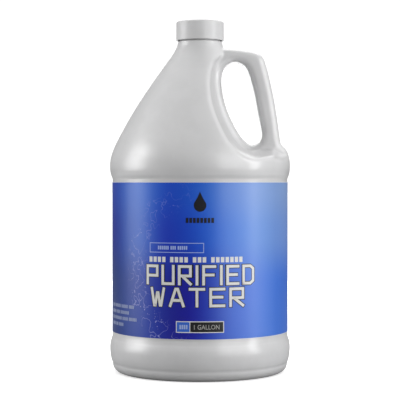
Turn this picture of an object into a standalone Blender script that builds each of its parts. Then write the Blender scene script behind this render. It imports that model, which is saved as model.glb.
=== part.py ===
"""One-gallon round jug of water: a blow-moulded bottle with a hollow handle, a screw cap, its liner,
a wrap label and the water. Metres, +Z up. The origin is the middle of the base, on the ground,
and the handle points to +X."""

from math import ceil, cos, hypot, pi, radians, sin, sqrt

import bmesh
import bpy

MM = 0.001

# ---- driving dimensions ----
WALL = 1.0 * MM
GAP = 0.3 * MM
ROUND_STEPS = 48

PANEL_RADIUS = 76.1 * MM
PANEL_BOTTOM = 33.4 * MM
PANEL_TOP = 167.5 * MM
RING_INSIDE = 60.5 * MM
RING_OUTSIDE = 68.5 * MM
PUSH_UP = 5.5 * MM
LOWER_BULGE = ((76.3, 7.8), (77.7, 13.9), (78.4, 22.1), (77.8, 28.1))
SHOULDER = ((77.5, 170.4), (78.6, 177.6), (77.9, 185.5), (74.3, 196.0), (67.7, 209.0), (60.3, 222.2),
            (52.3, 235.3), (43.5, 248.5), (34.4, 261.5), (28.7, 269.5), (23.6, 275.8), (20.8, 279.9))

CAP_TOP = 305.0 * MM
CAP_RADIUS = 20.8 * MM
CAP_HEIGHT = 16.6 * MM
CAP_BORE = 19.2 * MM
CAP_PLATE = 1.6 * MM
CAP_EDGE_ROUND = 1.6 * MM
CAP_DISH_RADIUS = 15.0 * MM
CAP_DISH_DEPTH = 0.4 * MM
LINER_RADIUS = 18.3 * MM
LINER_THICKNESS = 1.2 * MM

# ---- the 38 mm screw finish: six threads to the inch, right-handed ----
LIP = CAP_TOP - CAP_PLATE - GAP - LINER_THICKNESS - GAP
BORE_RADIUS = 15.3 * MM
BORE_BOTTOM = 281.0 * MM
COLLAR_RADIUS = 19.2 * MM
COLLAR_TOP = CAP_TOP - CAP_HEIGHT - 1.1 * MM
COLLAR_HEIGHT = 5.0 * MM
THREAD_ROOT = 17.5 * MM
THREAD_CREST = 18.75 * MM
THREAD_PITCH = 25.4 / 6 * MM
THREAD_RUN_OUT = 6
THREAD_STEPS_A_TURN = 40
THREAD_ROOTED = 0.4 * MM
THREAD_BASE = 2.1 * MM
NECK_THREAD = (0.0, 1.25)
CAP_THREAD = (-0.25, 1.15)
NECK_THREAD_START = COLLAR_TOP + 6.5 * MM
CAP_THREAD_CREST = 18.1 * MM

HANDLE_HALF_WIDTH = 12.8 * MM
HANDLE_ROUNDING = 5.0 * MM
# handle loop, seen along +Y: first along the handle's outer edge, then back inside the body
HANDLE_LOOP = ((19.1, 280.7), (37.6, 279.5), (48.9, 277.4), (54.5, 273.2), (56.9, 267.2), (60.5, 253.7),
               (64.8, 232.8), (68.0, 211.7), (70.0, 199.0), (73.6, 193.8), (75.0, 189.3), (69.9, 180.9),
               (55.5, 177.3), (38.0, 183.4), (22.1, 196.3), (9.8, 218.9), (3.6, 242.5), (4.6, 260.0),
               (9.2, 272.3), (14.9, 279.1))
FINGER_HOLE = ((29.3, 269.5), (36.8, 267.4), (41.8, 261.5), (46.9, 244.0), (51.1, 222.2), (53.9, 207.1),
               (52.0, 199.8), (45.5, 196.7), (39.7, 199.4), (33.5, 206.4), (25.1, 222.2), (19.6, 238.9),
               (18.0, 254.5), (21.2, 264.3))
# the pocket's wall where it crosses the mid plane, and the ridge where it meets the round body
POCKET_MIDDLE = ((22.2, 281.2), (20.6, 278.3), (19.9, 268.2), (18.2, 255.7), (19.1, 243.2), (22.0, 230.5),
                 (28.0, 216.3), (34.7, 204.6), (43.2, 196.9), (52.0, 197.6), (63.5, 197.8), (74.2, 194.4))
POCKET_RIDGE = ((21.6, 280.6), (19.6, 278.3), (10.9, 268.2), (7.5, 255.7), (7.5, 243.2), (10.1, 230.5),
                (15.0, 216.3), (21.8, 204.6), (29.3, 194.5), (41.1, 187.9), (55.5, 186.6), (72.8, 190.4))
POCKET_REACH = 87.0 * MM

LABEL_BOTTOM = 35.4 * MM
LABEL_TOP = 165.0 * MM
LABEL_THICKNESS = 0.2 * MM

FILL_LEVEL = 246.0 * MM



# ---- scene and materials ----
def empty_the_scene():
    for old in list(bpy.data.objects):
        bpy.data.objects.remove(old)


def new_collection(name):
    made = bpy.data.collections.new(name)
    bpy.context.scene.collection.children.link(made)
    return made


def finish_piece(piece, material_name, colour, roughness):
    """Gives a piece its material, and smooth shading that keeps its real edges."""
    apply_modifiers(piece)
    material = bpy.data.materials.new(material_name)
    material.use_nodes = True
    shader = material.node_tree.nodes["Principled BSDF"]
    shader.inputs["Base Color"].default_value = (*colour, 1.0)
    shader.inputs["Roughness"].default_value = roughness
    shader.inputs["Metallic"].default_value = 0.0
    piece.data.materials.clear()
    piece.data.materials.append(material)
    piece.data.shade_smooth()
    piece.data.set_sharp_from_angle(angle=radians(30))


# ---- outlines: lists of (radius, height) or (x, z) ----
def in_metres(points):
    return [(a * MM, b * MM) for a, b in points]


def smooth_curve(points, closed=False):
    """The points with one more point in each span, on a Catmull-Rom curve through them."""
    count = len(points)

    def at(i):
        return points[i % count] if closed else points[min(max(i, 0), count - 1)]

    curve = []
    for i in range(count if closed else count - 1):
        before, start, end, after = at(i - 1), at(i), at(i + 1), at(i + 2)
        middle = tuple((9 * (start[k] + end[k]) - before[k] - after[k]) / 16 for k in (0, 1))
        curve += [start, middle]
    return curve if closed else curve + [points[-1]]


def moved_left(points, distance, closed=False):
    """The outline with each of its edges moved to its left-hand side by the distance."""
    count = len(points)
    sides = []
    for (a, b), (next_a, next_b) in zip(points, points[1:] + points[:1]):
        length = hypot(next_a - a, next_b - b)
        sides.append(((b - next_b) / length, (next_a - a) / length))
    moved = []
    for i, (a, b) in enumerate(points):
        before = sides[i - 1] if closed or i > 0 else sides[0]
        after = sides[i] if closed or i < count - 1 else before
        stretch = distance / (1 + before[0] * after[0] + before[1] * after[1])
        moved.append((a + stretch * (before[0] + after[0]), b + stretch * (before[1] + after[1])))
    return moved


def arc(centre_r, centre_z, radius, start_deg, end_deg, steps):
    angles = [radians(start_deg + (end_deg - start_deg) * i / steps) for i in range(steps + 1)]
    return [(centre_r + radius * cos(a), centre_z + radius * sin(a)) for a in angles]


def body_skin():
    """The round body's outer profile: from the axis out along the pushed-up base, over the contact ring,
    and up the side to the neck."""
    base = [(0.0, PUSH_UP), (RING_INSIDE / 2, PUSH_UP), (RING_INSIDE - 3.5 * MM, PUSH_UP - 2.0 * MM),
            (RING_INSIDE, 0.0)]
    bulge = in_metres(LOWER_BULGE)
    corner = bulge[0][0] - RING_OUTSIDE
    side = arc(RING_OUTSIDE, corner, corner, -90, -18, 3) + bulge[1:]
    return base + side + [(PANEL_RADIUS, PANEL_BOTTOM), (PANEL_RADIUS, PANEL_TOP)] + in_metres(SHOULDER)


def radius_at(height):
    """The round body's outer radius at a height on its shoulder."""
    shoulder = in_metres(SHOULDER)
    for (r0, z0), (r1, z1) in zip(shoulder, shoulder[1:]):
        if z0 <= height <= z1:
            return r0 + (r1 - r0) * (height - z0) / (z1 - z0)
    return shoulder[-1][0]


# ---- solids ----
def object_from(data, name, collection):
    made = bpy.data.objects.new(name, data)
    collection.objects.link(made)
    return made


def mesh_from(build_mesh, name):
    """The bmesh as mesh data, with its faces pointing out."""
    bmesh.ops.recalc_face_normals(build_mesh, faces=build_mesh.faces)
    mesh = bpy.data.meshes.new(name)
    build_mesh.to_mesh(mesh)
    build_mesh.free()
    return mesh


def evaluated_mesh(solid):
    bpy.context.view_layer.update()
    return bpy.data.meshes.new_from_object(solid.evaluated_get(bpy.context.evaluated_depsgraph_get()))


def apply_modifiers(solid):
    mesh = evaluated_mesh(solid)
    solid.modifiers.clear()
    solid.data = mesh


def turned(name, profile, collection):
    """A solid turned about Z from a profile that runs top to bottom on its outer side."""
    count = len(profile)
    edges = [(i, i + 1) for i in range(count - 1)]
    if profile[0][0] or profile[-1][0]:
        edges.append((count - 1, 0))
    mesh = bpy.data.meshes.new(name)
    mesh.from_pydata([(r, 0.0, z) for r, z in profile], edges, [])
    made = object_from(mesh, name, collection)
    screw = made.modifiers.new("turn", "SCREW")
    screw.steps = ROUND_STEPS
    screw.render_steps = ROUND_STEPS
    screw.use_merge_vertices = True
    screw.merge_threshold = 0.01 * MM
    apply_modifiers(made)
    return made


def flat_ring(name, loops, half_width, rounding, collection):
    """A ring across Y between two outlines in the XZ plane, with its edges rounded."""
    curve = bpy.data.curves.new(name, "CURVE")
    curve.dimensions = "2D"
    curve.fill_mode = "BOTH"
    curve.extrude = half_width - rounding
    curve.bevel_depth = rounding
    curve.offset = -rounding
    curve.bevel_resolution = 2
    for loop in loops:
        spline = curve.splines.new("POLY")
        spline.points.add(len(loop) - 1)
        for point, (x, z) in zip(spline.points, loop):
            point.co = (x, z, 0.0, 1.0)
        spline.use_cyclic_u = True
    outline = object_from(curve, name + "_outline", collection)
    outline.rotation_euler = (pi / 2, 0.0, 0.0)
    mesh = evaluated_mesh(outline)
    mesh.transform(outline.matrix_world)
    bpy.data.objects.remove(outline)
    welded = bmesh.new()
    welded.from_mesh(mesh)
    bmesh.ops.remove_doubles(welded, verts=welded.verts, dist=0.01 * MM)
    return object_from(mesh_from(welded, name), name, collection)


def lofted(name, rings, collection):
    """A solid through closed rings of equal point counts, with flat ends."""
    loft = bmesh.new()
    loops = [[loft.verts.new(point) for point in ring] for ring in rings]
    count = len(loops[0])
    for one, two in zip(loops, loops[1:]):
        for i in range(count):
            j = (i + 1) % count
            loft.faces.new((one[i], one[j], two[j], two[i]))
    loft.faces.new(loops[0])
    loft.faces.new(loops[-1])
    sides = [face for face in loft.faces if len(face.verts) == 4]
    bmesh.ops.triangulate(loft, faces=sides, quad_method="FIXED")
    return object_from(mesh_from(loft, name), name, collection)


def combine(target, tool, operation):
    """Applies a Boolean of two solids, and removes the second one."""
    tool.hide_render = True
    tool.display_type = "WIRE"
    modifier = target.modifiers.new(operation.lower(), "BOOLEAN")
    modifier.operation = operation
    modifier.solver = "EXACT"
    modifier.object = tool
    apply_modifiers(target)
    bpy.data.objects.remove(tool)


def pocket_cutter(name, grow, cutters):
    """What the hand pocket takes off the round body. Its walls lean out from the mid plane by the mould's draft:
    each line runs from the middle outline through the ridge where it leaves the round body, and beyond."""
    middle = smooth_curve(in_metres(POCKET_MIDDLE))
    ridge = smooth_curve(in_metres(POCKET_RIDGE))
    outer = []
    for (middle_x, middle_z), (ridge_x, ridge_z) in zip(middle, ridge):
        ridge_y = sqrt(max(radius_at(ridge_z) ** 2 - ridge_x**2, (8 * MM) ** 2))
        share = POCKET_REACH / ridge_y
        outer.append((middle_x + (ridge_x - middle_x) * share, middle_z + (ridge_z - middle_z) * share))
    beyond = 2 * POCKET_REACH
    outside = [(beyond, middle[-1][1]), (beyond, CAP_TOP), (PANEL_RADIUS / 2, CAP_TOP)]
    middle = moved_left(middle, -grow) + outside
    outer = moved_left(outer, -grow) + outside
    sections = ((outer, -POCKET_REACH), (middle, 0.0), (outer, POCKET_REACH))
    return lofted(name, [[(x, y, z) for x, z in loop] for loop, y in sections], cutters)


def jug_form(name, inset, neck, collection, cutters):
    """The body with its pocket and its handle as one solid, inset everywhere from the bottle's skin.
    The neck is the profile above the body, top first."""
    skin = moved_left(body_skin(), inset)
    form = turned(name, neck + skin[::-1], collection)
    combine(form, pocket_cutter(name + "_pocket", inset, cutters), "DIFFERENCE")
    loops = (moved_left(in_metres(HANDLE_LOOP), -inset, closed=True),
             moved_left(smooth_curve(in_metres(FINGER_HOLE), closed=True), inset, closed=True))
    handle = flat_ring(name + "_handle", loops, HANDLE_HALF_WIDTH - inset, HANDLE_ROUNDING - inset, cutters)
    combine(form, handle, "UNION")
    return form


def thread_ridge(name, root, crest, turns, height_at_start, cutters):
    """A helical ridge rooted in a wall at the root radius, which fades out at both ends.
    Its turns are counted from the +X side, where it passes the starting height."""
    first, last = turns
    steps = ceil((last - first) * THREAD_STEPS_A_TURN)
    outward = 1 if crest > root else -1
    rings = []
    for i in range(steps + 1):
        turn = first + (last - first) * i / steps
        fullness = min(1.0, (i + 0.3) / THREAD_RUN_OUT, (steps - i + 0.3) / THREAD_RUN_OUT)
        top = root + (crest - root) * fullness
        buried = root - outward * THREAD_ROOTED
        section = ((buried, -THREAD_BASE / 2), (root, -THREAD_BASE / 2), (top, -THREAD_BASE / 4),
                   (top, THREAD_BASE / 4), (root, THREAD_BASE / 2), (buried, THREAD_BASE / 2))
        angle = 2 * pi * turn
        height = height_at_start + THREAD_PITCH * turn
        rings.append([(r * cos(angle), r * sin(angle), height + dz) for r, dz in section])
    return lofted(name, rings, cutters)


# ---- sub-parts ----
def make_bottle(parts, cutters):
    neck = [(0.0, LIP), (THREAD_ROOT - 0.8 * MM, LIP), (THREAD_ROOT, LIP - 0.8 * MM), (THREAD_ROOT, COLLAR_TOP),
            (COLLAR_RADIUS - 0.4 * MM, COLLAR_TOP), (COLLAR_RADIUS, COLLAR_TOP - 0.4 * MM),
            (COLLAR_RADIUS, COLLAR_TOP - COLLAR_HEIGHT)]
    bottle = jug_form("bottle", 0.0, neck, parts, cutters)
    above_lip = LIP + 2 * MM
    bore = [(0.0, above_lip), (BORE_RADIUS, above_lip), (BORE_RADIUS, BORE_BOTTOM)]
    combine(bottle, jug_form("bottle_hollow", WALL, bore, cutters, cutters), "DIFFERENCE")
    ridge = thread_ridge("neck_thread", THREAD_ROOT, THREAD_CREST, NECK_THREAD, NECK_THREAD_START, cutters)
    combine(bottle, ridge, "UNION")
    finish_piece(bottle, "hdpe_white", (0.80, 0.80, 0.80), 0.38)


def make_water(parts, cutters):
    top = [(0.0, BORE_BOTTOM), (BORE_RADIUS - GAP, BORE_BOTTOM)]
    water = jug_form("water", WALL + GAP, top, parts, cutters)
    block = bmesh.new()
    bmesh.ops.create_cube(block, size=CAP_TOP)
    above = object_from(mesh_from(block, "above_fill"), "above_fill", cutters)
    above.location.z = FILL_LEVEL + CAP_TOP / 2
    combine(water, above, "DIFFERENCE")
    finish_piece(water, "water_clear", (0.75, 0.85, 0.90), 0.03)


def make_cap(parts, cutters):
    """A cup: domed edge and dished plate outside, and a thread inside its skirt."""
    dish = CAP_TOP - CAP_DISH_DEPTH
    ceiling = CAP_TOP - CAP_PLATE
    bottom = CAP_TOP - CAP_HEIGHT
    edge = arc(CAP_RADIUS - CAP_EDGE_ROUND, CAP_TOP - CAP_EDGE_ROUND, CAP_EDGE_ROUND, 90, 0, 3)
    profile = [(0.0, dish), (CAP_DISH_RADIUS, dish), (CAP_DISH_RADIUS + CAP_DISH_DEPTH, CAP_TOP)] + edge
    profile += [(CAP_RADIUS, bottom), (CAP_BORE, bottom), (CAP_BORE, ceiling), (0.0, ceiling)]
    cap = turned("screw_cap", profile, parts)
    half_pitch_below = NECK_THREAD_START - THREAD_PITCH / 2
    combine(cap, thread_ridge("cap_thread", CAP_BORE, CAP_THREAD_CREST, CAP_THREAD, half_pitch_below, cutters),
            "UNION")
    finish_piece(cap, "pp_white", (0.82, 0.82, 0.83), 0.33)


def make_liner(parts):
    bottom = LIP + GAP
    top = bottom + LINER_THICKNESS
    liner = turned("cap_liner", [(0.0, top), (LINER_RADIUS, top), (LINER_RADIUS, bottom), (0.0, bottom)], parts)
    finish_piece(liner, "liner_foam", (0.85, 0.85, 0.82), 0.7)


def make_label(parts):
    inner = PANEL_RADIUS + GAP
    outer = inner + LABEL_THICKNESS
    label = turned("wrap_label", [(outer, LABEL_TOP), (outer, LABEL_BOTTOM), (inner, LABEL_BOTTOM),
                                  (inner, LABEL_TOP)], parts)
    finish_piece(label, "label_film", (0.05, 0.15, 0.62), 0.3)


def build():
    empty_the_scene()
    parts = new_collection("water_jug")
    cutters = new_collection("cutters")
    make_bottle(parts, cutters)
    make_water(parts, cutters)
    make_cap(parts, cutters)
    make_liner(parts)
    make_label(parts)


build()
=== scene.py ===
from itertools import product
from math import cos, pi, radians, sin

import bmesh
import bpy
import numpy as np
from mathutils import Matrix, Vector


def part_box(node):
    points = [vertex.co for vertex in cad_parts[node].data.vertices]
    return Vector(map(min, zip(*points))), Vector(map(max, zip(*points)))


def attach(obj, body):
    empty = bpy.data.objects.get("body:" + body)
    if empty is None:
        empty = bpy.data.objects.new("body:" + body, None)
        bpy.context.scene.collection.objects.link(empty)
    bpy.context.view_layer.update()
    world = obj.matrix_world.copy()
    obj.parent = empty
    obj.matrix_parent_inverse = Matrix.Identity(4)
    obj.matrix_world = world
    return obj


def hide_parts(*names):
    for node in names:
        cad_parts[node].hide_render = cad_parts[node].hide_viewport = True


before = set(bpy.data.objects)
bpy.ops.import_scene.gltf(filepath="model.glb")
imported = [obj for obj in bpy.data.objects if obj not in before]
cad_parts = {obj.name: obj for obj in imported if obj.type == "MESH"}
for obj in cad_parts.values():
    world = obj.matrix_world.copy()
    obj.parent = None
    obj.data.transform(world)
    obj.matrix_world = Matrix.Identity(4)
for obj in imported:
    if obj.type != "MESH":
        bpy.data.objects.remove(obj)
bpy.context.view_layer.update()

MM = 0.001

# ---- places and sizes from the CAD frame ----
bottle_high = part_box("bottle")[1]
cap_low, cap_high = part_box("screw_cap")
liner_low, liner_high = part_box("cap_liner")
label_low, label_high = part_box("wrap_label")
water_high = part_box("water")[1]

# ---- the bottle's outlines in millimetres: the CAD's, with rounder corners and a softer neck ----
WALL = 1.0
WATER_INSET = 1.5
PANEL_RADIUS = 76.1
BASE = ((0.0, 5.5), (30.0, 5.5), (50.0, 4.7), (56.0, 3.7), (58.8, 2.2), (60.5, 0.5), (61.5, 0.0),
        (68.0, 0.0))
BASE_CORNER = (68.0, 8.0, 8.0)
LOWER_BULGE = ((76.3, 8.9), (77.7, 13.9), (78.35, 20.6), (78.1, 25.2), (77.4, 28.2), (76.6, 30.6),
               (PANEL_RADIUS, 33.4))
UPPER_BULGE = ((PANEL_RADIUS, 167.2), (76.4, 168.4), (77.6, 171.6), (78.5, 177.4), (77.9, 185.5),
               (74.3, 196.0), (67.7, 209.0), (60.3, 222.2), (52.3, 235.3), (43.5, 248.5), (34.4, 261.5),
               (28.7, 269.5), (24.4, 275.5), (22.0, 279.4), (20.7, 282.0), (19.7, 284.8))
COLLAR_RADIUS = 19.2
HANDLE_HALF_WIDTH = 12.8
HANDLE_ROUNDING = 5.8
HANDLE_LOOP = ((19.1, 280.7), (37.6, 279.5), (48.9, 277.4), (54.5, 273.2), (56.9, 267.2), (60.5, 253.7),
               (64.8, 232.8), (68.0, 211.7), (70.0, 199.0), (73.6, 193.8), (75.0, 189.3), (69.9, 180.9),
               (55.5, 177.3), (38.0, 183.4), (22.1, 196.3), (9.8, 218.9), (3.6, 242.5), (4.6, 260.0),
               (9.2, 272.3), (14.9, 279.1))
FINGER_HOLE = ((29.3, 269.5), (36.8, 267.4), (41.8, 261.5), (46.9, 244.0), (51.1, 222.2), (53.9, 207.1),
               (52.0, 199.8), (45.5, 196.7), (39.7, 199.4), (33.5, 206.4), (25.1, 222.2), (19.6, 238.9),
               (18.0, 254.5), (21.2, 264.3))
POCKET_MIDDLE = ((34.0, 292.0), (22.2, 281.2), (20.6, 278.3), (19.9, 268.2), (18.2, 255.7), (19.1, 243.2),
                 (22.0, 230.5), (28.0, 216.3), (34.7, 204.6), (43.2, 197.4), (52.0, 198.4), (60.0, 199.0),
                 (67.0, 198.2), (74.2, 194.5), (95.0, 193.0))
RIDGE_ROUNDING = 3.6
HANDLE_BLEND = 2.4
HOLE_EDGE_BLEND = 1.0
# how the pocket's wall falls back on each side of the mid plane: a slope, and a rounded crest at the plane
POCKET_SLOPE = 0.105
POCKET_SLOPE_UPWARD = 0.02
POCKET_SLOPE_OUTWARD = 0.06
POCKET_CREST_DROP = 5.0
POCKET_CREST_WIDTH = 10.0
POCKET_TOP = 279.5
POCKET_SCALE = 0.97

# ---- the screw finish ----
LIP = bottle_high.z / MM
COLLAR_TOP = cap_low.z / MM - 1.1
BORE_RADIUS = 15.3
THREAD_ROOT = 17.5
THREAD_DEPTH = 1.25
THREAD_PITCH = 25.4 / 6
NECK_THREAD = (0.0, 1.25)
CAP_THREAD = (-0.25, 1.15)
NECK_THREAD_START = COLLAR_TOP + 6.5
CAP_THREAD_START = NECK_THREAD_START - THREAD_PITCH / 2
CAP_RADIUS = cap_high.x / MM
CAP_BORE = 19.2
CAP_THREAD_DEPTH = 1.1
THREAD_STATION = 0.3
THREAD_HALF_WIDTH = 1.15
THREAD_FLANK = 0.6
CAP_EDGE_ROUND = 1.6
CAP_DISH_RADIUS = 15.0
CAP_DISH_DEPTH = 0.4

# ---- the wrapped label: film, and print laid out as arc length and height on it ----
FILM = 0.1
FILM_LIFT = 0.1
LABEL_LOW = label_low.z / MM
LABEL_HIGH = label_high.z / MM
LABEL_INSIDE = label_high.x / MM - FILM - FILM_LIFT
PRINT_RADIUS = LABEL_INSIDE + FILM
PRINT_DEPTH = 0.02
TITLE_STROKE = 1.15
TITLE_EDGE = 0.6
LABEL_STEPS = 240
LAP = radians(6)
MARGIN_WIDTH = 0.4 * MM

# ---- meshing ----
SKIN_SPACING = 1.5
WATER_SPACING = 2.5
LOW_CUT = 174.0
HIGH_CUT = 285.0
NECK_BASE = 281.5
BORE_BOTTOM = 283.0

# ---- studio: metres, watts, and degrees to the right of the camera and up ----
CAMERA_DISTANCE = 1.213
CAMERA_HEIGHT = label_high.z
CAMERA_LENS = 124.8
CAMERA_SHIFT = -0.045
BACKDROP = 1.1
FLOOR_SEEN = 0.85
FLOOR_GLOW = 0.45
GLOW_START = 0.12
GLOW_END = 0.7
FLOOR_BOUNCE = 0.3
WORLD_FILL = 0.28
STRIP_SIZE = (0.2, 1.3)
STRIP_DISTANCE = 1.1
STRIP_HEIGHT = 0.3
# These powers and the high ones are rounded from a program's least-squares fit to the reference picture's
# greys, with a few changed afterwards.
STRIPS = ((-100, 2.3), (-90, 3.5), (-80, 4.7), (-70, 1.2), (30, 3.8), (40, 1.2), (50, 2.6), (70, 7.0))
BACK_STRIP_SIZE = (0.5, 0.85)
BACK_STRIP_POWER = 2.7
BACK_STRIP_HEIGHT = 0.14
HIGH_SIZE = (1.2, 1.2)
HIGH_DISTANCE = 1.2
HIGH_AIM = 0.15
HIGH_LIGHTS = ((-90, 50, 2.0), (90, 50, 2.9), (180, 60, 9.0))


# ---- outlines ----
def smooth_curve(points, steps, closed=False):
    """A Catmull-Rom curve through the points, as an array."""
    points = np.array(points, float)
    count = len(points)
    if closed:
        padded = np.vstack([points[-1:], points, points[:2]])
    else:
        padded = np.vstack([points[:1], points, points[-1:]])
    t = np.linspace(0, 1, steps, endpoint=False)[:, None]
    weights = np.stack([-t + 2 * t**2 - t**3, 2 - 5 * t**2 + 3 * t**3,
                        t + 4 * t**2 - 3 * t**3, t**3 - t**2]) / 2
    spans = count if closed else count - 1
    curve = np.vstack([sum(weights[k] * padded[i + k] for k in range(4)) for i in range(spans)])
    return curve if closed else np.vstack([curve, points[-1:]])


def arc(centre_r, centre_z, radius, start_deg, end_deg, steps):
    angles = np.radians(np.linspace(start_deg, end_deg, steps + 1))
    return np.stack([centre_r + radius * np.cos(angles), centre_z + radius * np.sin(angles)], 1)


def distance_to(outline, a, b):
    """Signed distance from the points (a, b) to a closed outline, negative inside it."""
    a, b = np.asarray(a, float), np.asarray(b, float)
    nearest = np.full(a.shape, np.inf)
    crossings = np.zeros(a.shape, bool)
    for (a0, b0), (a1, b1) in zip(outline, np.roll(outline, -1, 0)):
        da, db = a1 - a0, b1 - b0
        length = da * da + db * db
        if length < 1e-12:
            continue
        t = np.clip(((a - a0) * da + (b - b0) * db) / length, 0, 1)
        nearest = np.minimum(nearest, (a - a0 - t * da) ** 2 + (b - b0 - t * db) ** 2)
        if db:
            crossings ^= ((b0 <= b) != (b1 <= b)) & (a < a0 + (b - b0) * da / db)
    return np.where(crossings, -1, 1) * np.sqrt(nearest)


SIDE = np.vstack([
    smooth_curve(BASE, 3),
    arc(*BASE_CORNER, -84, 6, 10),
    smooth_curve(LOWER_BULGE, 4)[1:],
    smooth_curve(UPPER_BULGE, 6),
])
SIDE[:, 1] = np.maximum(SIDE[:, 1], 0)  # the curve through the ring's points dips a little below the floor
BODY_OUTLINE = np.vstack([SIDE, [(COLLAR_RADIUS, LIP + 30), (0.0, LIP + 30)]])
LOOP_OUTLINE = smooth_curve(HANDLE_LOOP, 6, closed=True)
HOLE_OUTLINE = smooth_curve(FINGER_HOLE, 8, closed=True)
POCKET_OUTLINE = np.vstack([smooth_curve(POCKET_MIDDLE, 6), [(400.0, 180.0), (400.0, 400.0), (60.0, 400.0)]])


# ---- the bottle's skin as one smooth field: negative inside ----
def smooth_max(a, b, width):
    overlap = np.maximum(width - np.abs(a - b), 0)
    return np.maximum(a, b) + overlap**2 / (4 * width)


def pocket_recess(x, y, z):
    """How far the pocket's wall falls back from its middle line: fast beside the mid plane, then gently."""
    upward, outward = smooth_step((z - 195) / 70), smooth_step((x - 35) / 35)
    slope = POCKET_SLOPE + POCKET_SLOPE_UPWARD * upward + POCKET_SLOPE_OUTWARD * outward
    crest = POCKET_CREST_DROP * (1 - np.exp(-np.abs(y) / POCKET_CREST_WIDTH))
    return smooth_step((POCKET_TOP - z) / 13) * (slope * np.abs(y) + crest)


def smooth_step(t):
    t = np.clip(t, 0, 1)
    return t * t * (3 - 2 * t)


def skin_field(body, pocket, loop, hole, x, y, z):
    """Joins the parts' distances: the turned body less the pocket, and the handle's ring with rounded edges.
    The wall slopes, so its distance is scaled down to about a true one."""
    wall = (pocket + pocket_recess(x, y, z)) * POCKET_SCALE
    drum = smooth_max(body, wall, RIDGE_ROUNDING)
    ring = smooth_max(loop, -hole, HOLE_EDGE_BLEND)
    across = np.abs(y) - HANDLE_HALF_WIDTH
    dx, dy = ring + HANDLE_ROUNDING, across + HANDLE_ROUNDING
    handle = np.hypot(np.maximum(dx, 0), np.maximum(dy, 0)) + np.minimum(np.maximum(dx, dy), 0)
    return -smooth_max(-drum, HANDLE_ROUNDING - handle, HANDLE_BLEND)


def field_at(points):
    x, y, z = points.T
    return skin_field(distance_to(BODY_OUTLINE, np.hypot(x, y), z), -distance_to(POCKET_OUTLINE, x, z),
                      distance_to(LOOP_OUTLINE, x, z), distance_to(HOLE_OUTLINE, x, z), x, y, z)


def field_on_grid(xs, ys, zs):
    """The field on a grid. Each outline is measured once on its own plane."""
    radii = np.arange(0, 120, 0.25)
    rr, rz = np.meshgrid(radii, zs, indexing="ij")
    table = distance_to(BODY_OUTLINE, rr, rz)
    reach = np.hypot(*np.meshgrid(xs, ys, indexing="ij"))
    body = np.stack([np.interp(reach, radii, table[:, k]) for k in range(len(zs))], 2)
    gx, gz = np.meshgrid(xs, zs, indexing="ij")
    outlines = (POCKET_OUTLINE, LOOP_OUTLINE, HOLE_OUTLINE)
    pocket, loop, hole = (distance_to(outline, gx, gz)[:, None, :] for outline in outlines)
    x, y, z = xs[:, None, None], ys[None, :, None], zs[None, None, :]
    return skin_field(body, -pocket, loop, hole, x, y, z)


def surface_net(values, xs, ys, zs):
    """Points and quads of the surface where the grid's values change sign."""
    shape = np.array(values.shape) - 1
    corners = list(product((0, 1), repeat=3))

    def shifted(array, corner):
        return array[tuple(slice(c, c + n) for c, n in zip(corner, shape))]

    inside = values < 0
    full = sum(shifted(inside, corner).astype(np.int8) for corner in corners)
    cells = np.argwhere((full > 0) & (full < 8))
    number = np.full(shape, -1)
    number[tuple(cells.T)] = np.arange(len(cells))
    total, crossed = np.zeros((len(cells), 3)), np.zeros((len(cells), 1))
    for one, two in product(corners, corners):
        step = np.subtract(two, one)
        if step.sum() != 1 or (step < 0).any():
            continue
        start, end = (values[tuple((cells + c).T)] for c in (one, two))
        hit = ((start < 0) != (end < 0))[:, None]
        share = (start / np.where(start == end, 1, start - end))[:, None]
        total += hit * (np.array(one) + share * step)
        crossed += hit
    points = np.array([xs[0], ys[0], zs[0]]) + (cells + total / crossed) * (xs[1] - xs[0])
    quads = []
    for axis in range(3):
        one, two = [a for a in range(3) if a != axis]
        low = [slice(None)] * 3
        high = [slice(None)] * 3
        low[axis], high[axis] = slice(0, -1), slice(1, None)
        changes = np.argwhere(inside[tuple(low)] != inside[tuple(high)])
        changes = changes[(changes[:, one] > 0) & (changes[:, two] > 0)
                          & (changes[:, one] < shape[one]) & (changes[:, two] < shape[two])]
        outward = inside[tuple(changes.T)]
        ring = []
        for back_one, back_two in ((0, 0), (1, 0), (1, 1), (0, 1)):
            cell = changes.copy()
            cell[:, one] -= back_one
            cell[:, two] -= back_two
            ring.append(number[tuple(cell.T)])
        ring = np.stack(ring, 1)
        flip = outward if axis != 1 else ~outward
        quads.append(np.where(flip[:, None], ring, ring[:, ::-1]))
    return points, np.vstack(quads)


def gradient_at(points, step=0.05):
    sides = [field_at(points + offset) - field_at(points - offset) for offset in step * np.eye(3)]
    return np.stack(sides, 1) / (2 * step)


def settle(points, quads, inset, rounds):
    """Evens out the net and puts each point back on the surface, inset below the skin."""
    edges = np.vstack([quads[:, [0, 1]], quads[:, [1, 2]], quads[:, [2, 3]], quads[:, [3, 0]]])
    for _ in range(rounds):
        total, count = np.zeros_like(points), np.zeros(len(points))
        for one, two in (edges.T, edges.T[::-1]):
            np.add.at(total, one, points[two])
            np.add.at(count, one, 1)
        points = 0.4 * points + 0.6 * total / count[:, None]
        slope = gradient_at(points)
        points = points - slope * ((field_at(points) + inset) / (slope**2).sum(1))[:, None]
    return points


# ---- turning the net into a whole bottle ----
def cut_flat(mesh, height, keep_above):
    """Cuts the mesh at a height and returns the cut's rim, as vertices in order round the axis."""
    geometry = mesh.verts[:] + mesh.edges[:] + mesh.faces[:]
    bmesh.ops.bisect_plane(mesh, geom=geometry, plane_co=(0, 0, height), plane_no=(0, 0, 1),
                           clear_outer=not keep_above, clear_inner=keep_above, dist=1e-4)
    rim = [v for v in mesh.verts if v.is_boundary and abs(v.co.z - height) < 1e-3]
    return sorted(rim, key=lambda v: np.arctan2(v.co.y, v.co.x))


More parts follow.
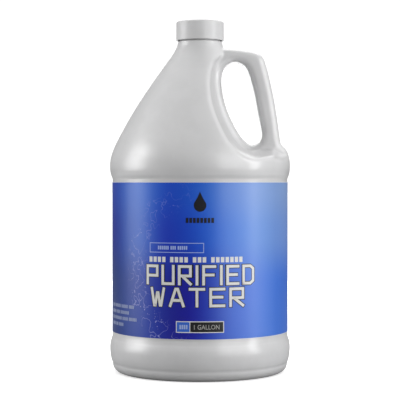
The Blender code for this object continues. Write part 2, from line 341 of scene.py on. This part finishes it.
def extend(mesh, rim, stations):
    """Carries a rim on along a turned profile of (radius, height) stations, and returns the last rim.
    A station's radius may depend on the angle."""
    for radius, height in stations:
        following = []
        for vertex in rim:
            angle = np.arctan2(vertex.co.y, vertex.co.x)
            r = radius(angle) if callable(radius) else radius
            following.append(mesh.verts.new((r * cos(angle), r * sin(angle), height)))
        join(mesh, rim, following)
        rim = following
    return rim


def join(mesh, one, two):
    for i in range(len(one)):
        j = (i + 1) % len(one)
        mesh.faces.new((one[i], one[j], two[j], two[i]))


def close(mesh, rim, height):
    centre = mesh.verts.new((0, 0, height))
    for i in range(len(rim)):
        mesh.faces.new((rim[i], rim[(i + 1) % len(rim)], centre))


def new_mesh(points, faces):
    mesh = bmesh.new()
    vertices = [mesh.verts.new(p) for p in points]
    for face in faces:
        mesh.faces.new([vertices[i] for i in face])
    return mesh


def as_object(mesh, name, sharp=None):
    """The bmesh, in millimetres, as an object in metres with its faces pointing out."""
    bmesh.ops.recalc_face_normals(mesh, faces=mesh.faces)
    bmesh.ops.scale(mesh, vec=(MM, MM, MM), verts=mesh.verts)
    data = bpy.data.meshes.new(name)
    mesh.to_mesh(data)
    mesh.free()
    data.shade_smooth()
    if sharp:
        data.set_sharp_from_angle(angle=radians(sharp))
    made = bpy.data.objects.new(name, data)
    bpy.context.scene.collection.objects.link(made)
    return made


def shoulder_net(spacing, inset):
    """The shoulder, hand pocket and handle, as points and quads."""
    limit = 80.0 + spacing
    xs = np.arange(-limit, limit, spacing)
    zs = np.arange(LOW_CUT - 3 * spacing, HIGH_CUT + 4 * spacing, spacing)
    values = field_on_grid(xs, xs, zs) + inset
    points, quads = surface_net(values, xs, xs, zs)
    return settle(points, quads, inset, 3), quads


def inset_profile(side, inset):
    along = np.gradient(side, axis=0)
    normal = np.stack([-along[:, 1], along[:, 0]], 1) / np.hypot(*along.T)[:, None]
    return side + inset * normal


def skin_mesh(spacing, inset):
    """One skin from the pushed-up base to the collar, open at the top."""
    mesh = new_mesh(*shoulder_net(spacing, inset))
    rim = cut_flat(mesh, LOW_CUT, keep_above=True)
    side = inset_profile(SIDE, inset)
    below = side[(side[:, 1] < LOW_CUT - 1) & (side[:, 0] > 1)][::-1]
    close(mesh, extend(mesh, rim, below), BASE[0][1] + inset)
    return mesh


def thread_bulge(turns, start_height, depth, angle, height):
    """How far a helical thread stands out of its wall at an angle and a height."""
    best = 0.0
    for whole in range(-1, 2):
        turn = angle / (2 * pi) + whole
        if not turns[0] <= turn <= turns[1]:
            continue
        fade = min(1.0, (turn - turns[0]) * 8, (turns[1] - turn) * 8)
        away = abs(height - start_height - THREAD_PITCH * turn)
        flank = max(0.0, min(1.0, (THREAD_HALF_WIDTH - away) / THREAD_FLANK))
        best = max(best, depth * fade * flank * flank * (3 - 2 * flank))
    return best


def neck_stations():
    """From the collar's side over its top, up the threaded neck, over the lip and down the bore."""
    stations = [(COLLAR_RADIUS, HIGH_CUT + 1.0), (COLLAR_RADIUS, COLLAR_TOP - 0.5)]
    stations += [tuple(p) for p in arc(COLLAR_RADIUS - 0.5, COLLAR_TOP - 0.5, 0.5, 20, 90, 3)]
    stations += [(THREAD_ROOT + 0.6, COLLAR_TOP)]
    stations += [tuple(p) for p in arc(THREAD_ROOT + 0.5, COLLAR_TOP + 0.5, 0.5, 250, 180, 3)]
    for height in np.arange(COLLAR_TOP + 1.0, LIP - 0.9, THREAD_STATION):
        stations.append((lambda angle, z=height: THREAD_ROOT + thread_bulge(
            NECK_THREAD, NECK_THREAD_START, THREAD_DEPTH, angle, z), height))
    stations += [tuple(p) for p in arc(THREAD_ROOT - 0.6, LIP - 0.6, 0.6, 0, 90, 4)]
    stations += [tuple(p) for p in arc(BORE_RADIUS + 0.4, LIP - 0.4, 0.4, 90, 180, 3)]
    stations += [(BORE_RADIUS, LIP - 8), (BORE_RADIUS, BORE_BOTTOM + 0.5), (BORE_RADIUS + 0.5, BORE_BOTTOM)]
    return stations


def make_bottle():
    """A closed shell: the outer skin and screw finish, and the same skin again one wall further in."""
    shell = skin_mesh(SKIN_SPACING, 0.0)
    bmesh.ops.recalc_face_normals(shell, faces=shell.faces)
    shell.normal_update()
    inner = shell.copy()
    for vertex in inner.verts:
        vertex.co -= WALL * vertex.normal
    cut_flat(inner, NECK_BASE, keep_above=False)
    extend(shell, cut_flat(shell, HIGH_CUT, keep_above=False), neck_stations())
    data = bpy.data.meshes.new("inner_skin")
    inner.to_mesh(data)
    inner.free()
    shell.from_mesh(data)
    bpy.data.meshes.remove(data)
    bmesh.ops.bridge_loops(shell, edges=[edge for edge in shell.edges if edge.is_boundary])
    return as_object(shell, "jug_bottle")


def make_water():
    """The water up to its fill level, just clear of the inner skin."""
    mesh = skin_mesh(WATER_SPACING, WATER_INSET)
    rims = cut_flat(mesh, water_high.z / MM, keep_above=False)
    bmesh.ops.holes_fill(mesh, edges=[edge for edge in mesh.edges if edge.is_boundary], sides=len(rims) + 1)
    return as_object(mesh, "jug_water", sharp=40)


def turned(name, stations, steps):
    """A closed turned solid: from the axis, out and round, and back to the axis."""
    mesh = bmesh.new()
    angles = [2 * pi * k / steps for k in range(steps)]
    radius, height = stations[1]
    first = [mesh.verts.new((radius * cos(a), radius * sin(a), height)) for a in angles]
    last = extend(mesh, first, stations[2:-1])
    close(mesh, first, stations[0][1])
    close(mesh, last, stations[-1][1])
    return as_object(mesh, name, sharp=50)


def make_cap():
    """The screw cap: dished top, rounded edge, plain skirt and a thread inside."""
    top, bottom = cap_high.z / MM, cap_low.z / MM
    plate = liner_high.z / MM + 0.3
    stations = [(0, plate), (6, plate), (12, plate), (CAP_BORE - 0.6, plate)]
    stations += [tuple(p) for p in arc(CAP_BORE - 0.5, plate - 0.5, 0.5, 80, 0, 3)]
    for height in np.arange(plate - 0.9, bottom + 1.0, -THREAD_STATION):
        stations.append((lambda angle, z=height: CAP_BORE - thread_bulge(
            CAP_THREAD, CAP_THREAD_START, CAP_THREAD_DEPTH, angle, z), height))
    stations += [(CAP_BORE, bottom + 0.5), (CAP_BORE + 0.15, bottom + 0.1), (CAP_BORE + 0.35, bottom)]
    stations += [tuple(p) for p in arc(CAP_RADIUS - 0.45, bottom + 0.45, 0.45, -80, 0, 4)]
    stations += [(CAP_RADIUS, bottom + 0.8), (CAP_RADIUS, bottom + 5), (CAP_RADIUS, top - 5)]
    round_r, round_z = CAP_RADIUS - CAP_EDGE_ROUND, top - CAP_EDGE_ROUND
    stations += [tuple(p) for p in arc(round_r, round_z, CAP_EDGE_ROUND, 0, 90, 8)]
    dish = top - CAP_DISH_DEPTH
    stations += [(CAP_DISH_RADIUS + 0.9, top), (CAP_DISH_RADIUS + 0.5, top - 0.08),
                 (CAP_DISH_RADIUS + 0.1, dish + 0.08), (CAP_DISH_RADIUS - 0.3, dish)]
    stations += [(10, dish), (5, dish), (0, dish)]
    return turned("cap_shell", stations, 144)


def make_liner():
    low, high, radius = liner_low.z / MM, liner_high.z / MM, liner_high.x / MM
    edge = [tuple(p) for p in arc(radius - 0.3, low + 0.3, 0.3, -90, 0, 3)]
    edge += [tuple(p) for p in arc(radius - 0.3, high - 0.3, 0.3, 0, 90, 3)]
    return turned("liner_disc", [(0, low), (8, low), *edge, (8, high), (0, high)], 96)


def make_label():
    """One strip of film round the panel. Its end laps over its start at the back."""
    mesh = bmesh.new()
    rings = []
    for k in range(LABEL_STEPS + 1):
        turn = k / LABEL_STEPS * (2 * pi + LAP)
        lift = FILM_LIFT * min(1, max(0, (turn - 2 * pi + LAP) / LAP))
        angle = pi / 2 + turn
        inside = LABEL_INSIDE + lift
        outside = inside + FILM
        corners = ((inside, LABEL_LOW), (outside, LABEL_LOW), (outside, LABEL_HIGH), (inside, LABEL_HIGH))
        rings.append([mesh.verts.new((r * cos(angle), r * sin(angle), z)) for r, z in corners])
    for one, two in zip(rings, rings[1:]):
        join(mesh, one, two)
    mesh.faces.new(rings[0])
    mesh.faces.new(rings[-1])
    return as_object(mesh, "label_film", sharp=40)


# ---- print on the label ----
LETTER_LINES = {
    "A": (((0, 0), (0.42, 1), (0.58, 1), (1, 0)), ((0.2, 0.32), (0.8, 0.32))),
    "D": (((0, 0), (0, 1), (0.7, 1), (1, 0.85), (1, 0.15), (0.7, 0), (0, 0)),),
    "E": (((1, 1), (0, 1), (0, 0), (1, 0)), ((0.1, 0.52), (0.85, 0.52))),
    "F": (((1, 1), (0, 1), (0, 0)), ((0.1, 0.52), (0.85, 0.52))),
    "I": (((0.5, 0), (0.5, 1)),),
    "P": (((0, 0), (0, 1), (1, 1), (1, 0.46), (0.1, 0.46)),),
    "R": (((0, 0), (0, 1), (1, 1), (1, 0.46), (0.1, 0.46)), ((0.35, 0.4), (1, 0))),
    "T": (((0, 1), (1, 1)), ((0.5, 0.9), (0.5, 0))),
    "U": (((0, 1), (0, 0), (1, 0), (1, 1)),),
    "W": (((0, 1), (0.22, 0), (0.3, 0), (0.46, 0.75), (0.54, 0.75), (0.7, 0), (0.78, 0), (1, 1)),),
}


def wrapped(flat, name, level):
    """Bends a flat solid, in millimetres with x along the label and y up, onto the film."""
    for x in np.arange(-120, 121, 2.0):
        geometry = flat.verts[:] + flat.edges[:] + flat.faces[:]
        bmesh.ops.bisect_plane(flat, geom=geometry, plane_co=(x, 0, 0), plane_no=(1, 0, 0), dist=1e-5)
    for vertex in flat.verts:
        x, y, z = vertex.co
        angle, r = x / PRINT_RADIUS, PRINT_RADIUS + level + z
        vertex.co = (r * sin(angle), -r * cos(angle), y)
    made = as_object(flat, name, sharp=30)
    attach(made, "jug")
    return made


def flat_shapes(outlines):
    """Flat outlines, each with a little thickness, as one mesh."""
    mesh = bmesh.new()
    for outline in outlines:
        face = mesh.faces.new([mesh.verts.new((x, y, 0)) for x, y in outline])
        top = bmesh.ops.extrude_face_region(mesh, geom=[face])["geom"]
        for vertex in top:
            if isinstance(vertex, bmesh.types.BMVert):
                vertex.co.z += PRINT_DEPTH
    return mesh


def flat_text(words, centre, width, height, swell=0.0):
    """Words fitted to a width and a height, each stroke swollen by some millimetres."""
    def outline(offset):
        curve = bpy.data.curves.new("words", "FONT")
        curve.body = words
        curve.offset = offset
        curve.extrude = 0.5
        curve.resolution_u = 3
        curve.align_x = "CENTER"
        holder = bpy.data.objects.new("words", curve)
        data = holder.to_mesh()
        mesh = bmesh.new()
        mesh.from_mesh(data)
        holder.to_mesh_clear()
        bpy.data.objects.remove(holder)
        bpy.data.curves.remove(curve)
        return mesh

    plain_mesh = outline(0.0)
    low, high = (np.array([f(v.co[k] for v in plain_mesh.verts) for k in range(2)]) for f in (min, max))
    plain_mesh.free()
    scale = np.array([width, height]) / (high - low)
    mesh = outline(swell / scale[1])
    bmesh.ops.remove_doubles(mesh, verts=mesh.verts, dist=1e-5)
    for vertex in mesh.verts:
        x, y = (np.array(vertex.co[:2]) - (low + high) / 2) * scale + centre
        vertex.co = (x, y, (vertex.co.z + 0.5) * PRINT_DEPTH)
    return mesh


def stroke(points, half_width):
    """A line of even width through the points, as one four-sided outline for each straight run."""
    points = np.array(points, float)
    along = np.diff(points, axis=0)
    along /= np.hypot(*along.T)[:, None]
    normals = np.stack([-along[:, 1], along[:, 0]], 1)
    before, after = np.vstack([normals[:1], normals]), np.vstack([normals, normals[-1:]])
    mitre = (before + after) / (1 + (before * after).sum(1))[:, None] * half_width
    points[0] -= along[0] * half_width
    points[-1] += along[-1] * half_width
    left, right = points + mitre, points - mitre
    return [[right[i], right[i + 1], left[i + 1], left[i]] for i in range(len(along))]


def letters(word, x0, y0, x1, y1, half_width, gap):
    """Plain square capitals, each as strokes, fitted between two corners."""
    widths = [0.25 if letter == "I" else 1.0 for letter in word]
    unit = (x1 - x0 - gap * (len(word) - 1)) / sum(widths)
    outlines, x = [], x0
    for letter, share in zip(word, widths):
        low = np.array([x + half_width, y0 + half_width])
        size = np.array([max(unit * share - 2 * half_width, 0), y1 - y0 - 2 * half_width])
        for line in LETTER_LINES[letter]:
            outlines += stroke(low + size * np.array(line), half_width)
        x += unit * share + gap
    return outlines


def title(word, x0, y0, x1, y1, gap, swell=0.0):
    """A word in the title's strokes. The swell widens every stroke on both sides of its middle line."""
    return flat_shapes(letters(word, x0 - swell, y0 - swell, x1 + swell, y1 + swell,
                               TITLE_STROKE + swell, gap - 2 * swell))


def rectangle(x0, y0, x1, y1):
    return [(x0, y0), (x1, y0), (x1, y1), (x0, y1)]


def frame_of(x0, y0, x1, y1, line):
    return [rectangle(x0, y0, x1, y0 + line), rectangle(x0, y1 - line, x1, y1),
            rectangle(x0, y0 + line, x0 + line, y1 - line), rectangle(x1 - line, y0 + line, x1, y1 - line)]


def blocks(x0, y0, y1, words, width, gap, word_gap):
    """A row of plain blocks, one for each letter, that stands for print."""
    row, x = [], x0
    for count in words:
        for _ in range(count):
            row.append(rectangle(x, y0, x + width, y1))
            x += width + gap
        x += word_gap - gap
    return row


def small_print():
    """Four short lines of small print at the label's left side."""
    rows = []
    for line, words in enumerate(((5, 7, 6, 4), (7, 4, 8), (4, 9, 5, 6), (6, 3, 5))):
        top = 61.5 - 5.2 * line
        rows += blocks(-104, top - 2.8, top, words, 1.25, 0.5, 1.8)
    return rows


def drop_outline(x, y, radius):
    """A water drop: a round bottom and a pointed top."""
    low = [(x + radius * cos(a), y + radius * sin(a)) for a in np.radians(np.arange(150, 391, 12))]
    side, shoulder, tip = radius * 0.42, y + radius * 1.25, y + radius * 2.2
    return low + [(x + side, shoulder), (x, tip), (x - side, shoulder)]


# ---- materials ----
def new_material(name):
    material = bpy.data.materials.new(name)
    material.use_nodes = True
    tree = material.node_tree
    return material, tree, tree.nodes["Principled BSDF"]


def node(tree, kind, inputs, **settings):
    """Adds a shader node, sets or links its inputs, and returns its first output."""
    made = tree.nodes.new("ShaderNode" + kind)
    for key, value in settings.items():
        setattr(made, key, value)
    for key, value in inputs.items():
        if isinstance(value, bpy.types.NodeSocket):
            tree.links.new(value, made.inputs[key])
        else:
            made.inputs[key].default_value = value
    return made.outputs[0]


def math(tree, operation, *values, clamp=False):
    return node(tree, "Math", dict(enumerate(values)), operation=operation, use_clamp=clamp)


def place_on_object(tree):
    return tree.nodes.new("ShaderNodeTexCoord").outputs["Object"]


def noise(tree, place, scale, detail=2.0, roughness=0.5):
    inputs = {"Vector": place, "Scale": scale, "Detail": detail, "Roughness": roughness}
    return node(tree, "TexNoise", inputs)


def between(tree, value, low, high, to_low=0.0, to_high=1.0, smooth=True):
    return node(tree, "MapRange", {0: value, 1: low, 2: high, 3: to_low, 4: to_high},
                interpolation_type="SMOOTHSTEP" if smooth else "LINEAR")


def mix_colour(tree, factor, one, two):
    made = tree.nodes.new("ShaderNodeMix")
    made.data_type = "RGBA"
    for socket, value in ((made.inputs[0], factor), (made.inputs[6], one), (made.inputs[7], two)):
        if isinstance(value, bpy.types.NodeSocket):
            tree.links.new(value, socket)
        else:
            socket.default_value = value if isinstance(value, float) else (*value, 1)
    return made.outputs[2]


def bump(tree, shader, *layers):
    """Stacks bump layers of (height, strength, distance in metres) into the shader's normal."""
    normal = None
    for height, strength, distance in layers:
        inputs = {"Height": height, "Strength": strength, "Distance": distance}
        if normal:
            inputs["Normal"] = normal
        normal = node(tree, "Bump", inputs)
    tree.links.new(normal, shader.inputs["Normal"])


def moulded_plastic(name, colour, roughness, coat):
    """Blow-moulded or injection-moulded plastic: a fine stipple over soft unevenness."""
    material, tree, shader = new_material(name)
    place = place_on_object(tree)
    fine = noise(tree, place, 1400, 3)
    broad = noise(tree, place, 28, 2)
    tone = noise(tree, place, 60, 4, 0.6)
    darker = tuple(0.965 * c for c in colour)
    shade = mix_colour(tree, between(tree, tone, 0.35, 0.65), darker, colour)
    tree.links.new(shade, shader.inputs["Base Color"])
    sheen = between(tree, fine, 0.3, 0.7, roughness - 0.04, roughness + 0.04)
    tree.links.new(sheen, shader.inputs["Roughness"])
    shader.inputs["Coat Weight"].default_value = coat
    shader.inputs["Coat Roughness"].default_value = 0.26
    bump(tree, shader, (broad, 0.25, 0.0006), (fine, 0.12, 0.00004))
    return material


def printed_ink(name, colour, roughness=0.35):
    """Ink on film, with a faint dot screen and an uneven gloss."""
    material, tree, shader = new_material(name)
    place = place_on_object(tree)
    grain = noise(tree, place, 2200, 2)
    dull = tuple(0.9 * c for c in colour)
    shade = mix_colour(tree, between(tree, grain, 0.4, 0.6), dull, colour)
    tree.links.new(shade, shader.inputs["Base Color"])
    sheen = between(tree, grain, 0.3, 0.7, roughness - 0.05, roughness + 0.05)
    tree.links.new(sheen, shader.inputs["Roughness"])
    bump(tree, shader, (grain, 0.1, 0.00002))
    return material


def colour_ramp(tree, value, stops):
    made = tree.nodes.new("ShaderNodeValToRGB")
    tree.links.new(value, made.inputs[0])
    ramp = made.color_ramp
    ramp.interpolation = "B_SPLINE"
    while len(ramp.elements) < len(stops):
        ramp.elements.new(1.0)
    for element, (place, colour) in zip(ramp.elements, stops):
        element.position = place
        element.color = (*colour, 1)
    return made.outputs[0]


# the label's colours round the bottle: 0.25 is its left side, 0.5 the front and 0.75 the right side.
# Each ramp is for one height, and the shader blends between them. The lighter stops near 0.385 and 0.61
# are painted highlights where the side lamps reflect, laid over the print's own blue.
# Most stops follow colours that a program averaged from the reference picture, not colours chosen by hand.
WASH_AND_HIGHLIGHTS_TOP = ((0.05, (0.04, 0.15, 0.50)), (0.25, (0.0, 0.03, 0.32)), (0.32, (0.0, 0.03, 0.335)),
            (0.385, (0.005, 0.16, 0.68)), (0.43, (0.0, 0.06, 0.53)), (0.46, (0.0, 0.055, 0.52)),
            (0.50, (0.006, 0.10, 0.58)), (0.54, (0.04, 0.18, 0.66)), (0.61, (0.23, 0.365, 0.69)),
            (0.66, (0.16, 0.265, 0.535)), (0.75, (0.19, 0.30, 0.53)), (0.95, (0.04, 0.15, 0.50)))
WASH_AND_HIGHLIGHTS_MIDDLE = ((0.05, (0.02, 0.10, 0.45)), (0.25, (0.0, 0.01, 0.23)), (0.32, (0.0, 0.01, 0.24)),
               (0.385, (0.0, 0.13, 0.61)), (0.425, (0.0, 0.034, 0.475)), (0.455, (0.0, 0.028, 0.45)),
               (0.50, (0.0, 0.07, 0.58)), (0.55, (0.02, 0.17, 0.71)), (0.61, (0.17, 0.325, 0.715)),
               (0.66, (0.11, 0.22, 0.545)), (0.75, (0.14, 0.25, 0.58)), (0.95, (0.02, 0.10, 0.45)))
WASH_AND_HIGHLIGHTS_BOTTOM = ((0.05, (0.01, 0.05, 0.34)), (0.25, (0.0, 0.02, 0.15)), (0.32, (0.0, 0.025, 0.16)),
               (0.385, (0.0, 0.05, 0.40)), (0.425, (0.0, 0.015, 0.333)), (0.46, (0.0, 0.0, 0.26)),
               (0.50, (0.0, 0.0, 0.36)), (0.55, (0.03, 0.12, 0.64)), (0.61, (0.115, 0.245, 0.735)),
               (0.66, (0.03, 0.135, 0.565)), (0.75, (0.0, 0.10, 0.54)), (0.95, (0.01, 0.05, 0.34)))
SPRAY_COLOUR = (0.50, 0.52, 0.86)
MARGIN_COLOUR = (0.74, 0.74, 0.71)


def spray(tree, angle, z):
    """A loose ring of fine drops and threads of water, strongest at its left: its strength, 0 to 1."""
    across = math(tree, "MULTIPLY_ADD", angle, PRINT_RADIUS / 55, 0.07)
    up = math(tree, "MULTIPLY_ADD", z, 1000 / 62, -92 / 62)
    reach = math(tree, "SQRT", math(tree, "ADD", math(tree, "MULTIPLY", across, across),
                                    math(tree, "MULTIPLY", up, up)))
    flat = node(tree, "CombineXYZ", {0: across, 1: up})
    wander = noise(tree, flat, 2.6, 2)
    ring = math(tree, "ABSOLUTE", math(tree, "ADD", reach, math(tree, "MULTIPLY_ADD", wander, 0.5, -1.25)))
    left = between(tree, across, 0.15, -0.45)
    low = between(tree, up, 0.9, -0.7, 0.35, 1.0)
    band = math(tree, "MULTIPLY", math(tree, "MULTIPLY", between(tree, ring, 0.26, 0.02), left), low)
    thread = noise(tree, flat, 4.2, 2, 0.55)
    thread = between(tree, math(tree, "ABSOLUTE", math(tree, "SUBTRACT", thread, 0.5)), 0.012, 0.002)
    cells = node(tree, "TexVoronoi", {"Vector": flat, "Scale": 24.0, "Randomness": 1.0})
    drops = between(tree, cells, 0.26, 0.12)
    clumps = between(tree, noise(tree, flat, 4.5, 2), 0.48, 0.66)
    mist = math(tree, "MULTIPLY", drops, clumps)
    both = math(tree, "MAXIMUM", math(tree, "MULTIPLY", thread, 0.42), math(tree, "MULTIPLY", mist, 0.9))
    return math(tree, "MULTIPLY", both, band, clamp=True)


def label_material():
    """Satin printed film: a blue ground from navy at the left to pale at the right, with painted highlights
    of the side lamps in it to the left and right of the front, a spray of drops, and a pale margin at the top
    and bottom."""
    material, tree, shader = new_material("label_print_film")
    place = place_on_object(tree)
    split = node(tree, "SeparateXYZ", {0: place})
    x, y, z = split.node.outputs
    angle = math(tree, "ARCTAN2", x, math(tree, "MULTIPLY", y, -1.0))
    across = math(tree, "MULTIPLY_ADD", angle, 0.5 / pi, 0.5)
    upper = between(tree, z, 0.122, 0.160)
    lower = between(tree, z, 0.122, 0.078)
    # the ramps give the print's blue together with painted highlights where the side lamps reflect
    top, middle, bottom = (colour_ramp(tree, across, stops) for stops in (WASH_AND_HIGHLIGHTS_TOP, WASH_AND_HIGHLIGHTS_MIDDLE, WASH_AND_HIGHLIGHTS_BOTTOM))
    wash_and_highlights = mix_colour(tree, upper, middle, top)
    wash_and_highlights = mix_colour(tree, lower, wash_and_highlights, bottom)
    wash_and_highlights = mix_colour(tree, spray(tree, angle, z), wash_and_highlights, SPRAY_COLOUR)
    from_middle = math(tree, "ABSOLUTE", math(tree, "SUBTRACT", z, (label_low.z + label_high.z) / 2))
    half = (label_high.z - label_low.z) / 2
    margin = between(tree, from_middle, half - MARGIN_WIDTH, half - 0.75 * MARGIN_WIDTH)
    wash_and_highlights = mix_colour(tree, margin, wash_and_highlights, MARGIN_COLOUR)
    tree.links.new(wash_and_highlights, shader.inputs["Base Color"])
    grain = noise(tree, place, 2200, 2)
    tree.links.new(between(tree, grain, 0.3, 0.7, 0.36, 0.42), shader.inputs["Roughness"])
    bump(tree, shader, (noise(tree, place, 35, 2), 0.15, 0.0004), (grain, 0.08, 0.00002))
    return material


def water_material():
    material, tree, shader = new_material("clear_water")
    shader.inputs["Base Color"].default_value = (0.92, 0.97, 1, 1)
    shader.inputs["Transmission Weight"].default_value = 1.0
    shader.inputs["IOR"].default_value = 1.333
    ripple = noise(tree, place_on_object(tree), 40, 2)
    tree.links.new(between(tree, ripple, 0, 1, 0.0, 0.03), shader.inputs["Roughness"])
    bump(tree, shader, (ripple, 0.05, 0.0005))
    return material


def foam_material():
    material, tree, shader = new_material("liner_foam")
    place = place_on_object(tree)
    cells = node(tree, "TexVoronoi", {"Vector": place, "Scale": 2500})
    tree.links.new(mix_colour(tree, between(tree, cells, 0.0, 0.6), (0.7, 0.7, 0.69), (0.86, 0.86, 0.85)),
                   shader.inputs["Base Color"])
    tree.links.new(between(tree, cells, 0, 0.6, 0.85, 0.7), shader.inputs["Roughness"])
    bump(tree, shader, (cells, 0.4, 0.0001))
    return material


# ---- studio ----
def soft_light(name, azimuth, elevation, size, power, distance, aim_height):
    """A softbox round the object, aimed at its axis: azimuth in degrees to the right of the camera."""
    data = bpy.data.lights.new(name, "AREA")
    data.shape = "RECTANGLE"
    data.size, data.size_y = size
    data.energy = power
    light = bpy.data.objects.new(name, data)
    bpy.context.scene.collection.objects.link(light)
    around, up = radians(azimuth), radians(elevation)
    away = Vector((sin(around) * cos(up), -cos(around) * cos(up), sin(up)))
    light.location = Vector((0, 0, aim_height)) + distance * away
    light.rotation_euler = away.to_track_quat("Z", "Y").to_euler()
    light.visible_camera = False


def make_stage():
    """A pale floor that fades to pure white away from the object, and throws little light back on it."""
    bpy.ops.mesh.primitive_plane_add(size=40, location=(0, 0, 0))
    floor = bpy.context.object
    floor.name = "floor"
    material, tree, shader = new_material("floor_white")
    seen = tree.nodes.new("ShaderNodeLightPath").outputs["Is Camera Ray"]
    shader.inputs["Roughness"].default_value = 1.0
    shader.inputs["Specular IOR Level"].default_value = 0.0
    shader.inputs["Emission Color"].default_value = (1, 1, 1, 1)
    grey = between(tree, seen, 0.0, 1.0, FLOOR_BOUNCE, FLOOR_SEEN, smooth=False)
    tree.links.new(node(tree, "CombineColor", {0: grey, 1: grey, 2: grey}), shader.inputs["Base Color"])
    away = node(tree, "VectorMath", {0: place_on_object(tree)}, operation="LENGTH")
    glow = between(tree, away.node.outputs["Value"], GLOW_START, GLOW_END, FLOOR_GLOW, BACKDROP)
    tree.links.new(math(tree, "MULTIPLY", glow, seen), shader.inputs["Emission Strength"])
    floor.data.materials.append(material)


def make_world():
    """White to the camera, and a dimmer fill for the object."""
    world = bpy.data.worlds.new("studio")
    bpy.context.scene.world = world
    world.use_nodes = True
    tree = world.node_tree
    seen = tree.nodes.new("ShaderNodeLightPath").outputs["Is Camera Ray"]
    strength = between(tree, seen, 0.0, 1.0, WORLD_FILL, BACKDROP, smooth=False)
    tree.links.new(strength, tree.nodes["Background"].inputs[1])
    tree.nodes["Background"].inputs[0].default_value = (1, 1, 1, 1)


def make_camera():
    data = bpy.data.cameras.new("camera")
    camera = bpy.data.objects.new("camera", data)
    bpy.context.scene.collection.objects.link(camera)
    camera.location = (0, -CAMERA_DISTANCE, CAMERA_HEIGHT)
    camera.rotation_euler = (pi / 2, 0, 0)
    data.lens = CAMERA_LENS
    data.shift_y = CAMERA_SHIFT
    bpy.context.scene.camera = camera


# ---- build the studio ----
make_camera()
make_stage()
make_world()
for azimuth, power in STRIPS:
    soft_light("strip_" + str(azimuth), azimuth, 0, STRIP_SIZE, power, STRIP_DISTANCE, STRIP_HEIGHT)
soft_light("back_strip", 180, 0, BACK_STRIP_SIZE, BACK_STRIP_POWER, STRIP_DISTANCE, BACK_STRIP_HEIGHT)
for azimuth, elevation, power in HIGH_LIGHTS:
    soft_light("high_" + str(azimuth), azimuth, elevation, HIGH_SIZE, power, HIGH_DISTANCE, HIGH_AIM)

# ---- build the jug ----

hdpe = moulded_plastic("hdpe_white", (0.62, 0.62, 0.625), 0.36, 0.8)
pp = moulded_plastic("pp_white", (0.60, 0.60, 0.605), 0.42, 0.25)
white_ink = printed_ink("ink_cream", (0.74, 0.74, 0.71))
grey_ink = printed_ink("ink_grey", (0.45, 0.45, 0.42))
dark_ink = printed_ink("ink_dark", (0.004, 0.004, 0.006))
blue_ink = printed_ink("ink_blue", (0.03, 0.13, 0.6))
pale_ink = printed_ink("ink_pale", (0.35, 0.45, 0.75))
faint_ink = printed_ink("ink_faint", (0.26, 0.31, 0.48))

for make, material, body, node_name, slot in (
        (make_bottle, hdpe, "jug", "bottle", "bottle_plastic"),
        (make_water, water_material(), "jug", "water", "water"),
        (make_label, label_material(), "jug", "wrap_label", "label_film"),
        (make_cap, pp, "cap", "screw_cap", "cap_plastic"),
        (make_liner, foam_material(), "liner", "cap_liner", "liner_foam")):
    piece = make()
    piece.data.materials.append(material)
    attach(piece, body)
    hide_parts(node_name)

# the print, laid out in millimetres: x is the arc from the front's middle, y is the height above the base,
# and the last number is how far the ink's underside is above the film
for name, mesh, ink, level in (
        ("print_title_edge", title("PURIFIED", -47.2, 80.2, 48.0, 96.8, 2.8, TITLE_EDGE), dark_ink, 0.01),
        ("print_title", title("PURIFIED", -47.2, 80.2, 48.0, 96.8, 2.8), white_ink, 0.025),
        ("print_word_edge", title("WATER", -43.0, 62.2, 38.0, 78.2, 3.4, TITLE_EDGE), dark_ink, 0.01),
        ("print_word", title("WATER", -43.0, 62.2, 38.0, 78.2, 3.4), white_ink, 0.025),
        ("print_badge_frame", flat_shapes([rectangle(-20, 41.2, 20, 50.7)]), white_ink, 0.0),
        ("print_badge_left", flat_shapes([rectangle(-19.3, 41.9, -8.6, 50)]), blue_ink, 0.015),
        ("print_badge_right", flat_shapes([rectangle(-8.0, 41.9, 19.3, 50)]), dark_ink, 0.015),
        ("print_badge_words", flat_text("1 GALLON", (5.6, 45.9), 21, 3.8), grey_ink, 0.03),
        ("print_badge_mark", flat_shapes(blocks(-17.0, 44.2, 47.7, (4,), 1.3, 0.5, 1)), pale_ink, 0.03),
        ("print_box", flat_shapes(frame_of(-43.9, 106.8, 3.3, 115, 0.55)), pale_ink, 0.0),
        ("print_box_marks", flat_shapes(blocks(-36, 109.4, 112.4, (6, 3, 5), 1.2, 0.5, 1.6)), pale_ink, 0.0),
        ("print_line", flat_shapes(blocks(-44.2, 99, 103.4, (4, 4, 3, 7), 2.9, 1.15, 4.1)), white_ink, 0.0),
        ("print_small", flat_shapes(small_print()), faint_ink, 0.0),
        ("print_drop", flat_shapes([drop_outline(0, 145.8, 5.2)]), dark_ink, 0.0),
        ("print_drop_marks", flat_shapes(blocks(-11.8, 131.4, 135.6, (8,), 2.3, 0.7, 1)), dark_ink, 0.0)):
    wrapped(mesh, name, level).data.materials.append(ink)

bpy.context.scene.view_settings.view_transform = "Standard"
